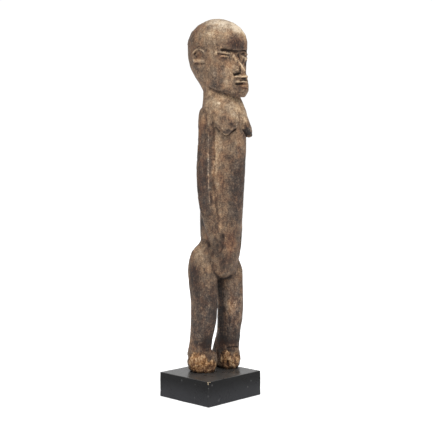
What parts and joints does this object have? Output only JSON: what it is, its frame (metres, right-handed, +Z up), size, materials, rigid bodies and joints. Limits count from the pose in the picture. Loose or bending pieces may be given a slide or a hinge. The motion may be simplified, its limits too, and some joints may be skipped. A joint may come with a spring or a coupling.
{
  "type": "lobi bateba figure",
  "caption": "Standing wooden spirit figure with a large round head, arms in relief down its sides and short thick legs, on a low black plinth.",
  "frame": {"origin": "middle of the plinth's underside", "axes": "+Z up; the figure faces -Y and its left side is at +X; the plinth's sides run along X and Y"},
  "size_m": [0.1117, 0.1032, 0.5453],
  "materials": {
    "carved_wood": "weathered dark hardwood with worn patina",
    "black_paint": "satin black paint on wood, lightly scuffed"
  },
  "bodies": {
    "root": {"figure": "carved_wood", "plinth": "black_paint"}
  },
  "joints": []
}
